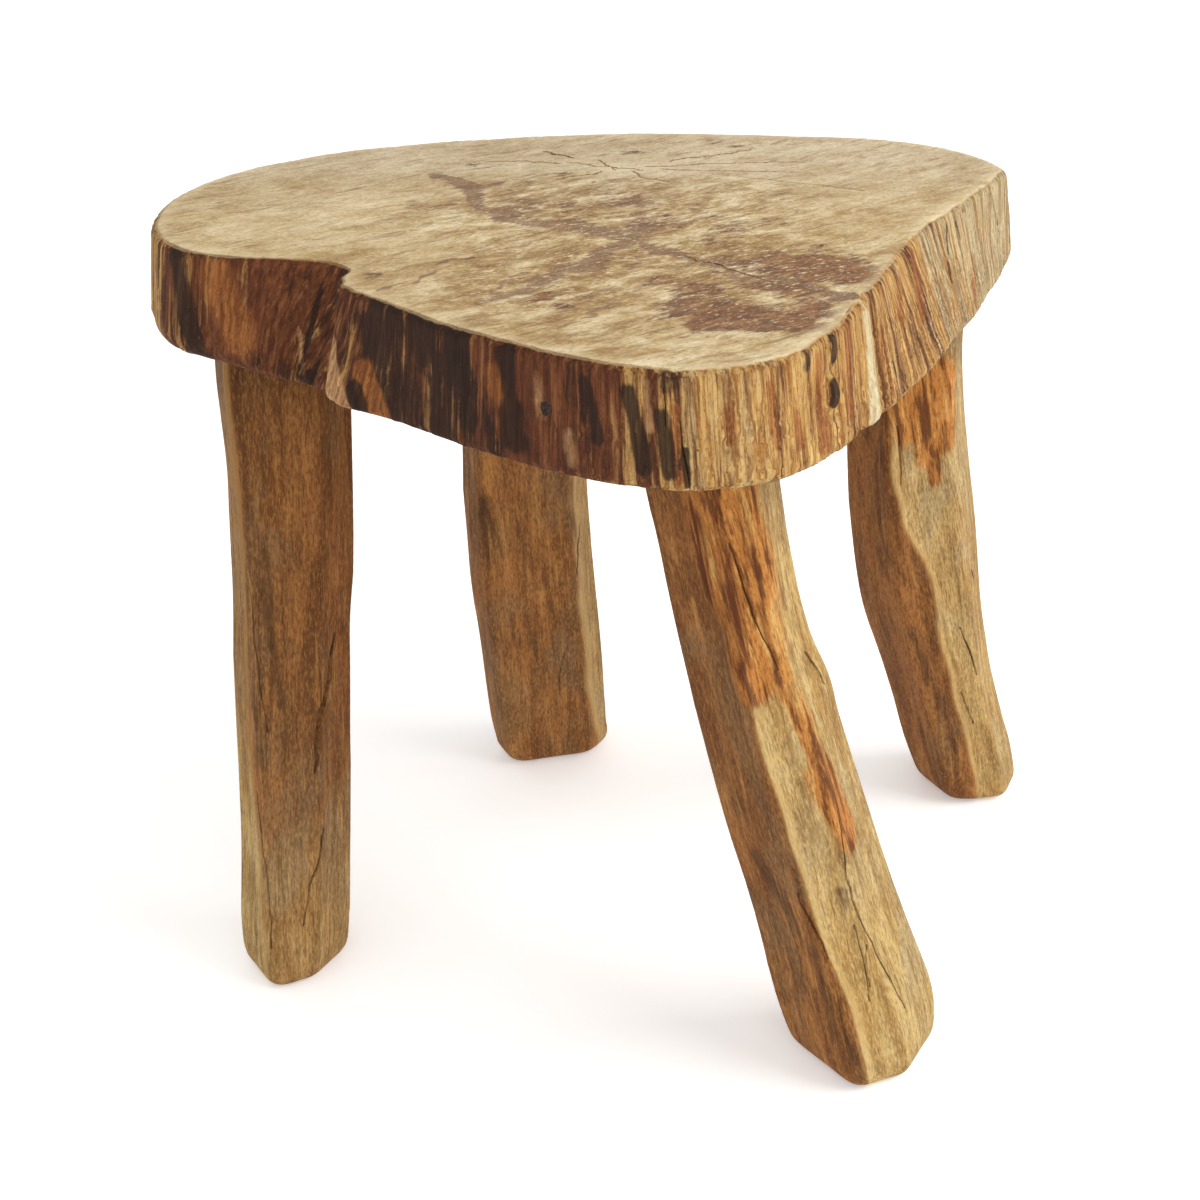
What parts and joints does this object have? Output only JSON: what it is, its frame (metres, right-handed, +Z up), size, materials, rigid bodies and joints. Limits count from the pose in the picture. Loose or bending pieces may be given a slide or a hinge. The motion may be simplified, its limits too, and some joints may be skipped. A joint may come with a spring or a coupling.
{
  "type": "milking stool",
  "caption": "Rustic milking stool: a thick heart-shaped slab cut across a lobed tree trunk, standing on hewn, splayed legs tenoned into its underside.",
  "frame": {"origin": "On the floor, under the middle of the whole stool's bounding box.", "axes": "+Z up, -Y towards the front, where the slab's fold and its front lobe are, +X to the sitter's right as seen from the front; X is the longest way."},
  "size_m": [0.4204, 0.3516, 0.34],
  "materials": {
    "seat_wood": "worn, unvarnished end grain with dark stains; debarked edge streaked red-brown",
    "leg_wood": "hewn, hand-worn and dull",
    "wedge_wood": "split hardwood, raw",
    "nail_iron": "rusted dark"
  },
  "bodies": {
    "root": {"seat": "seat_wood", "leg_front_left": "leg_wood", "leg_front_right": "leg_wood", "leg_back_left": "leg_wood", "leg_back_right": "leg_wood", "wedge_front_left": "wedge_wood", "wedge_front_right": "wedge_wood", "wedge_back_left": "wedge_wood", "wedge_back_right": "wedge_wood", "nail": "nail_iron"}
  },
  "joints": []
}
